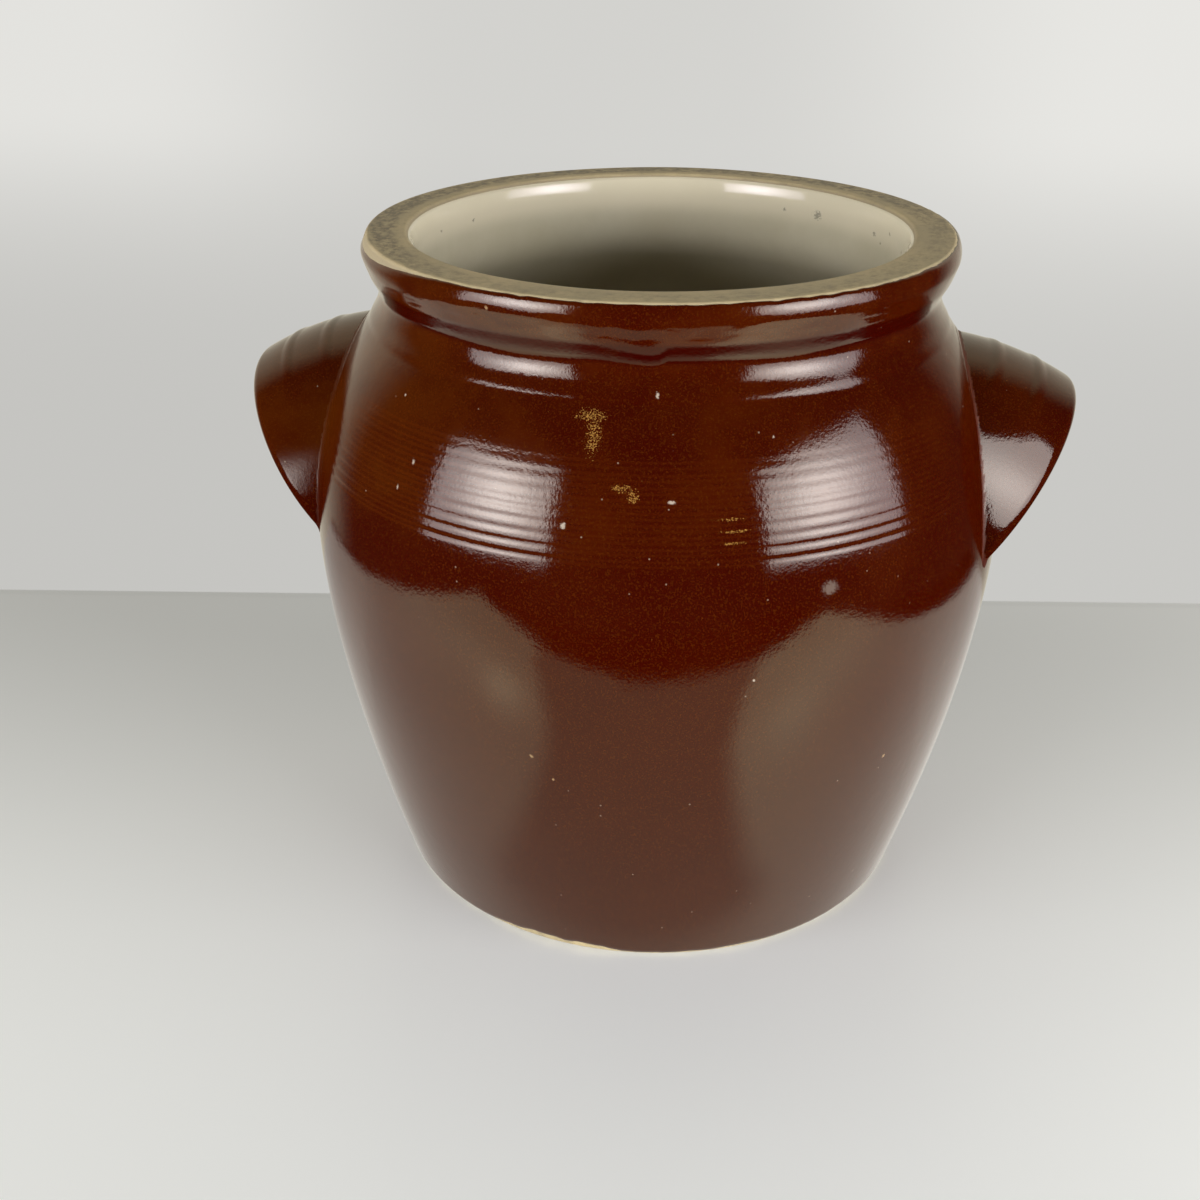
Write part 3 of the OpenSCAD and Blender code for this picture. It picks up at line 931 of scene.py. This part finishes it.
def relax(points, quads):
    """Moves each point half way to the mean of its neighbours."""
    total = np.zeros_like(points)
    count = np.zeros(len(points))
    for a, b in ((0, 1), (1, 2), (2, 3), (3, 0), (1, 0), (2, 1), (3, 2), (0, 3)):
        np.add.at(total, quads[:, a], points[quads[:, b]])
        np.add.at(count, quads[:, a], 1)
    return 0.5 * points + 0.5 * total / count[:, None]


def make_ear(name, half_turn):
    """One ear; half_turn puts it on the left of the pot."""

    def field(points):
        return ear_field(points, half_turn)

    points, quads = skin_of(field, EAR_LOW, EAR_HIGH, EAR_GRID)
    points = pull_to_skin(field, points, 4, EAR_GRID / 2)
    for _ in range(3):
        points = pull_to_skin(field, relax(points, quads), 2, EAR_GRID / 2)
    normals = slope_of(field, points)
    normals /= np.maximum(np.linalg.norm(normals, axis=1, keepdims=True), 1e-9)
    joint = joint_share(points, half_turn)
    if half_turn:
        points = points * [-1, -1, 1]
        normals = normals * [-1, -1, 1]
    mesh = bpy.data.meshes.new(name)
    mesh.from_pydata(points.tolist(), [], quads.tolist())
    weight = mesh.attributes.new("joint", "FLOAT", "POINT")
    weight.data.foreach_set("value", joint.astype(np.float32))
    mesh.shade_smooth()
    mesh.normals_split_custom_set_from_vertices(normals.tolist())
    mesh.materials.append(BROWN)
    return new_piece(name, mesh)


brown_coat = make_brown_coat()
pale_liner = make_pale_liner()
clay_pot = make_clay_pot()
left_ear = make_ear("left_ear", True)
right_ear = make_ear("right_ear", False)

for piece, node, slot in (
    (brown_coat, "outer_glaze", "brown_glaze"),
    (pale_liner, "liner_glaze", "pale_glaze"),
    (clay_pot, "thrown_body", "bare_clay"),
    (left_ear, "left_handle", "brown_glaze"),
    (right_ear, "right_handle", "brown_glaze"),
):
    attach(piece, "root")
    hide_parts(node)


# Stage, light and camera

CAMERA_PLACE = Vector((0.0510, -0.5601, 0.3768))
CAMERA_FORWARD = Vector((-0.1152, 0.8884, -0.4443))
CAMERA_SENSOR = 36.0
CAMERA_LENS = 46.5
AIM = Vector((0, 0, 0.18))
LIGHT_DISTANCE = 3.0


def painted_card(name, corner_of, grid, bright_at, tint, clear, once=False):
    """A glowing card that only reflections see, painted by bright_at over its two shares, clear or not.

    A card that is shown once is not seen in the reflection of a reflection."""
    u, v = np.meshgrid(*(np.linspace(0, 1, count + 1) for count in grid), indexing="ij")
    shares = np.stack([u.ravel(), v.ravel()], 1)
    number = np.arange(len(shares)).reshape(u.shape)
    corners = (number[:-1, :-1], number[1:, :-1], number[1:, 1:], number[:-1, 1:])
    faces = np.stack([corner.ravel() for corner in corners], 1)
    mesh = bpy.data.meshes.new(name)
    mesh.from_pydata([tuple(corner_of(a, b)) for a, b in shares], [], faces.tolist())
    glow = mesh.attributes.new("glow", "FLOAT", "POINT")
    glow.data.foreach_set("value", bright_at(shares[:, 0], shares[:, 1]).astype(np.float32))
    made, nodes = empty_material(name)
    strength = nodes.painted("glow")
    if once:
        bounces = nodes.new("ShaderNodeLightPath").outputs["Ray Depth"]
        strength = nodes.times(strength, nodes.math("LESS_THAN", bounces, 1.5))
    shown = nodes.new("ShaderNodeEmission", {"Color": tint, "Strength": strength}).outputs[0]
    if clear:
        through = nodes.new("ShaderNodeBsdfTransparent").outputs[0]
        shown = nodes.new("ShaderNodeAddShader", [shown, through]).outputs[0]
    nodes.new("ShaderNodeOutputMaterial", {"Surface": shown})
    mesh.materials.append(made)
    card = new_piece(name, mesh)
    card.visible_camera = False
    card.visible_diffuse = False
    card.visible_shadow = False
    return card


def shown_by(name, pieces):
    """A set of pieces that alone show a card in their gloss."""
    shown = bpy.data.collections.new(name)
    for piece in pieces:
        shown.objects.link(piece)
    return shown


POT_ALONE = shown_by("pot_alone", (brown_coat, pale_liner, clay_pot))

# Floor: the table's back edge as a distance and a slant, and ramps of glow, each from, to, low and high
FLOOR_HALF = 40
FLOOR_COLOUR = colour(0.62, 0.64, 0.64)
FLOOR_GLOW = colour(1.0, 0.992, 0.955)
TABLE_BACK = 0.2025
TABLE_SLANT = 0.103
TABLE_BACK_SOFT = 0.0005
TABLE_BACK_BEVEL = 0.003
TABLE_BEVEL_SHADE = (0.0015, 0.004, 0.92, 1.0)
TABLE_GLOSS = 0.25
TABLE_FALL = (-0.25, 0.20, 1.0, 0.62)
TABLE_GLOW_ACROSS = (0.0, 0.4, 0.31, 0.49)
GROUND_ACROSS = (-0.4, 0.4, 0.56, 0.59)
GROUND_ALONG = (0.4, 1.6, 0.0, 0.09)
GROUND_ASIDE = (0.08, 0.32, 0.0, 0.12)
GROUND_ASIDE_FROM = (0.6, 1.8)
GROUND_LEAN = -0.13


def make_floor():
    """Pale table glowing as painted light that lifts the pot's shadow, and beyond its back edge a paler
    ground that glows a little and takes no shadow.
    """
    made, nodes, shader, place = new_material("pale_floor")
    across, along, _ = nodes.split(place)
    beyond = nodes.math("SUBTRACT", along, nodes.math("MULTIPLY_ADD", across, TABLE_SLANT, TABLE_BACK))
    far = nodes.steps(beyond, -TABLE_BACK_SOFT, TABLE_BACK_SOFT)
    away = nodes.math("MAXIMUM", nodes.math("SUBTRACT", along, CAMERA_PLACE.y), 0.1)
    aside = nodes.math("DIVIDE", nodes.math("SUBTRACT", across, CAMERA_PLACE.x), away)
    aside = nodes.math("ABSOLUTE", nodes.math("SUBTRACT", aside, GROUND_LEAN))
    sides = nodes.times(nodes.steps(aside, *GROUND_ASIDE), nodes.steps(along, *GROUND_ASIDE_FROM))
    tone = nodes.math("ADD", nodes.steps(across, *GROUND_ACROSS), sides)
    tone = nodes.math("ADD", tone, nodes.steps(along, *GROUND_ALONG))
    # Painted light: the table glows near the pot, more to the right, lifting its shadow; its colour and
    # glow fall towards its back
    near = nodes.times(nodes.steps(along, *TABLE_FALL), nodes.math("SUBTRACT", 1.0, far))
    near_glow = nodes.times(near, nodes.steps(across, *TABLE_GLOW_ACROSS))
    shine = nodes.math("MULTIPLY_ADD", tone, far, near_glow)
    from_bevel = nodes.math("ABSOLUTE", nodes.math("ADD", beyond, TABLE_BACK_BEVEL))
    bevel = nodes.steps(from_bevel, *TABLE_BEVEL_SHADE)
    gloss = nodes.steps(beyond, -TABLE_BACK_SOFT, TABLE_BACK_SOFT, TABLE_GLOSS, 0.0)
    nodes.feed(shader.inputs["Base Color"], nodes.mix(near, colour(0.0, 0.0, 0.0), FLOOR_COLOUR))
    nodes.feed(shader.inputs["Emission Color"], FLOOR_GLOW)
    nodes.feed(shader.inputs["Emission Strength"], nodes.times(shine, bevel))
    nodes.feed(shader.inputs["Specular IOR Level"], gloss)
    nodes.feed(shader.inputs["Roughness"], 0.3)
    corners = [(x * FLOOR_HALF, y * FLOOR_HALF, 0) for x, y in ((-1, -1), (1, -1), (1, 1), (-1, 1))]
    mesh = bpy.data.meshes.new("floor")
    mesh.from_pydata(corners, [], [[0, 1, 2, 3]])
    mesh.materials.append(made)
    floor = new_piece("floor", mesh)
    floor.visible_glossy = False
    floor.visible_shadow = False


# The table as the glaze shows it: its outline, the pot's shade, and glare by place, size and strength
TABLE_LOW = (-0.45, -0.46)
TABLE_HIGH = (0.44, 0.20)
TABLE_LEFT = -0.43
TABLE_FRONT_X = (-0.43, -0.33, -0.20, -0.15, -0.05, 0.00, 0.10, 0.35, 0.42)
TABLE_FRONT_Y = (-0.43, -0.40, -0.37, -0.345, -0.325, -0.31, -0.305, -0.31, -0.31)
TABLE_RIGHT_Y = (-0.30, -0.21, -0.15, -0.06, 0.03, 0.20)
TABLE_RIGHT_X = (0.415, 0.405, 0.39, 0.37, 0.355, 0.34)
SHADE_Y = (-0.30, -0.28, -0.26, -0.24, -0.22, -0.20, -0.16, -0.12)
SHADE_LEFT = (-0.15, -0.13, -0.112, -0.098, -0.083, -0.077, -0.073, -0.070)
SHADE_RIGHT = (0.20, 0.18, 0.15, 0.13, 0.108, 0.092, 0.078, 0.066)
TABLE_SOFT = (-0.002, 0.003)
TABLE_TINT = colour(1.03, 1.0, 0.92)
TABLE_CARD_Z = -0.00005
TABLE_CARD_GRID = (178, 132)
TABLE_GLOW = 0.76
TABLE_GLOW_RIGHT = 0.18
TABLE_RIGHT = (-0.06, 0.06)
FRONT_GLOW = 0.30
FRONT_GLOW_RIGHT = 0.20
FRONT_REACH = (0.06, 0.20)
BACK_LOSS = 0.16
BACK_LOSS_REACH = (0.0, 0.15)
FOOT_LOSS = 0.18
FOOT_LOSS_RADIUS = 0.14
RING_LOSS = 0.08
RING_RADIUS = 0.235
RING_WIDTH = 0.06
SHADE_GLOW = 0.53
SHADE_SOFT = (-0.02, 0.012)
SHADE_FRONT = (0.09, 0.115)
GLARES = (
    (-0.155, -0.225, 0.035, 0.025, 0.75),
    (-0.22, -0.24, 0.10, 0.05, 0.20),
    (0.165, -0.185, 0.045, 0.03, 0.40),
    (0.24, -0.20, 0.08, 0.05, 0.15),
)


def hump(x, y, middle, spread):
    """1 at the middle, falling away over a spread in both directions."""
    return np.exp(-(((x - middle[0]) / spread[0]) ** 2) - ((y - middle[1]) / spread[1]) ** 2)


def table_glow(x, y):
    """How bright the table is at a place, with the pot's shade and nothing beyond its edges."""
    away = np.hypot(x, y)
    right = smooth(x, *TABLE_RIGHT)
    glow = TABLE_GLOW + TABLE_GLOW_RIGHT * right
    glow += (FRONT_GLOW + FRONT_GLOW_RIGHT * right) * smooth(-y, *FRONT_REACH)
    glow -= BACK_LOSS * smooth(y, *BACK_LOSS_REACH)
    glow -= FOOT_LOSS * np.exp(-(away / FOOT_LOSS_RADIUS) ** 4)
    for middle_x, middle_y, wide, deep, strength in GLARES:
        glow += strength * hump(x, y, (middle_x, middle_y), (wide, deep))
    glow *= 1 - RING_LOSS * np.exp(-(((away - RING_RADIUS) / RING_WIDTH) ** 2)) * (y < 0)
    shade = smooth(x - np.interp(y, SHADE_Y, SHADE_LEFT), *SHADE_SOFT)
    shade *= smooth(np.interp(y, SHADE_Y, SHADE_RIGHT) - x, *SHADE_SOFT) * smooth(-y, *SHADE_FRONT)
    glow += (SHADE_GLOW - glow) * shade
    on_table = smooth(y - np.interp(x, TABLE_FRONT_X, TABLE_FRONT_Y), *TABLE_SOFT)
    on_table *= smooth(x - TABLE_LEFT, *TABLE_SOFT)
    on_table *= smooth(np.interp(y, TABLE_RIGHT_Y, TABLE_RIGHT_X) - x, *TABLE_SOFT)
    return glow * on_table


def make_table_card():
    """What the glaze sees of the table."""

    def place(u, v):
        x = TABLE_LOW[0] + u * (TABLE_HIGH[0] - TABLE_LOW[0])
        y = TABLE_LOW[1] + v * (TABLE_HIGH[1] - TABLE_LOW[1])
        return x, y

    def corner(u, v):
        return (*place(u, v), TABLE_CARD_Z)

    def bright(u, v):
        return table_glow(*place(u, v))

    card = painted_card("table_card", corner, TABLE_CARD_GRID, bright, TABLE_TINT, False)
    card.light_linking.receiver_collection = POT_ALONE


# Windows: views as left, right, low and high in degrees, their tops at some azimuths, and their radiance
WINDOW_TINT = colour(1.0, 0.97, 1.38)
WINDOW_GRID = (60, 48)
WINDOW_SPREAD = (0.30, 0.30)
WINDOW_SOFT = 0.04
WINDOW_TOP_SOFT = 0.05
WINDOW_LAMP_TOP = 17
WINDOW_LAMP_RADIANCE = 13.3
WINDOWS = {
    "left_window": {
        "view": (-71, -27, -5.5, 28),
        "top_at": (-71, -65, -54, -40, -27),
        "top": (19.5, 24.5, 26, 27.6, 28),
        "radiance": 3.2,
        "peak": 14.0,
        "peak_at": (0.58, 0.58),
    },
    "right_window": {
        "view": (39.5, 88, -5.5, 30.5),
        "top_at": (39.5, 60, 84, 87, 88),
        "top": (27.2, 30.4, 29, 23, 16),
        "radiance": 2.9,
        "peak": 13.0,
        "peak_at": (0.42, 0.55),
    },
}

# Glints: for each ear a view, the softness of its edges, its radiance, its peak and where that lies
GLINT_GRID = (40, 40)
GLINT_SPREAD = (0.35, 0.30)
GLINTS = (
    (left_ear, (-52, -16, -30, 14), 0.40, 1.8, 5.4, (0.35, 0.45)),
    (right_ear, (8, 66, -19, 43), 0.03, 4.9, 9.8, (0.25, 0.5)),
)
OVERHEAD_PLACE = Vector((0.0, -1.3, 2.2))
OVERHEAD_SIZE = 1.6
OVERHEAD_RADIANCE = 0.6


def framed(u, v, soft, top, top_soft):
    """1 inside a window's frame, falling to 0 at its edges."""
    sides = smooth(u, 0, soft) * smooth(1 - u, 0, soft)
    return sides * smooth(v, 0, soft) * smooth(top - v, 0, top_soft)


def light_card(name, view, grid, bright, pieces, once=False):
    """A card with a window's light over a view from the pot, shown by some pieces alone."""
    left, right, low, high = view

    def corner(u, v):
        return AIM + direction(left + u * (right - left), low + v * (high - low)) * LIGHT_DISTANCE

    card = painted_card(name, corner, grid, bright, WINDOW_TINT, True, once)
    card.light_linking.receiver_collection = pieces


def add_lamp(name, place, wide, tall, radiance):
    """A soft lamp aimed at the pot, which no reflection shows."""
    light = bpy.data.lights.new(name, "AREA")
    light.shape = "RECTANGLE"
    light.size = wide
    light.size_y = tall
    light.energy = radiance * math.pi * wide * tall
    lamp = new_piece(name, light)
    lamp.location = place
    lamp.rotation_euler = (AIM - place).to_track_quat("-Z", "Y").to_euler()
    lamp.visible_camera = False
    lamp.visible_glossy = False


def make_window(name, view, top_at, top, radiance, peak, peak_at):
    """A soft light: a card that the glaze shows as a window, and a lamp that lights the rest."""
    left, right, low, high = view

    def bright(u, v):
        glow = radiance + (peak - radiance) * hump(u, v, peak_at, WINDOW_SPREAD)
        head = (np.interp(left + u * (right - left), top_at, top) - low) / (high - low)
        return glow * framed(u, v, WINDOW_SOFT, head, WINDOW_TOP_SOFT)

    light_card(name + "_card", view, WINDOW_GRID, bright, POT_ALONE)
    middle = direction((left + right) / 2, (low + WINDOW_LAMP_TOP) / 2)
    wide = 2 * LIGHT_DISTANCE * math.tan(math.radians(right - left) / 2)
    tall = 2 * LIGHT_DISTANCE * math.tan(math.radians(WINDOW_LAMP_TOP - low) / 2)
    add_lamp(name, AIM + middle * LIGHT_DISTANCE, wide, tall, WINDOW_LAMP_RADIANCE)


def make_ear_glint(ear, view, soft, radiance, peak, peak_at):
    """The part of a window that one ear shows."""

    def bright(u, v):
        glow = radiance + (peak - radiance) * hump(u, v, peak_at, GLINT_SPREAD)
        return glow * framed(u, v, soft, 1, soft)

    ear_alone = shown_by(ear.name + "_alone", (ear,))
    light_card(ear.name + "_glint", view, GLINT_GRID, bright, ear_alone, True)


# Room: dark with a pale back as the glaze shows it, which leans aside and rises, and plain to the camera
ROOM_DARK = colour(0.02, 0.018, 0.015)
ROOM_BACK = colour(0.68, 0.64, 0.52)
ROOM_SHOWN = colour(0.66, 0.66, 0.64)
BACK_ASIDE = -0.17
BACK_RISE = 0.4
BACK_REACH = (0.45, 0.85)


def make_world():
    """Plain pale ground to the camera, and to reflections a dark room with a pale back."""
    world = bpy.data.worlds.new("room")
    world.use_nodes = True
    world.node_tree.nodes.clear()
    nodes = Nodes(world.node_tree)
    path = nodes.new("ShaderNodeLightPath").outputs
    across, along, up = nodes.split(nodes.new("ShaderNodeTexCoord").outputs["Generated"])
    back = nodes.math("MULTIPLY_ADD", across, BACK_ASIDE, along)
    back = nodes.math("MULTIPLY_ADD", nodes.math("MAXIMUM", up, 0.0), BACK_RISE, back)
    room = nodes.mix(nodes.steps(back, *BACK_REACH), ROOM_DARK, ROOM_BACK)
    shown = nodes.mix(path["Is Camera Ray"], room, ROOM_SHOWN)
    background = nodes.new("ShaderNodeBackground", {"Color": shown})
    nodes.new("ShaderNodeOutputWorld", {"Surface": background.outputs[0]})
    bpy.context.scene.world = world


def make_camera():
    lens = bpy.data.cameras.new("camera")
    lens.sensor_width = CAMERA_SENSOR
    lens.lens = CAMERA_LENS
    camera = new_piece("camera", lens)
    camera.location = CAMERA_PLACE
    camera.rotation_euler = CAMERA_FORWARD.to_track_quat("-Z", "Y").to_euler()
    bpy.context.scene.camera = camera


make_floor()
make_table_card()
for name, window in WINDOWS.items():
    make_window(name, **window)
for glint in GLINTS:
    make_ear_glint(*glint)
add_lamp("overhead", OVERHEAD_PLACE, OVERHEAD_SIZE, OVERHEAD_SIZE, OVERHEAD_RADIANCE)
make_world()
make_camera()
bpy.context.scene.view_settings.view_transform = "Standard"
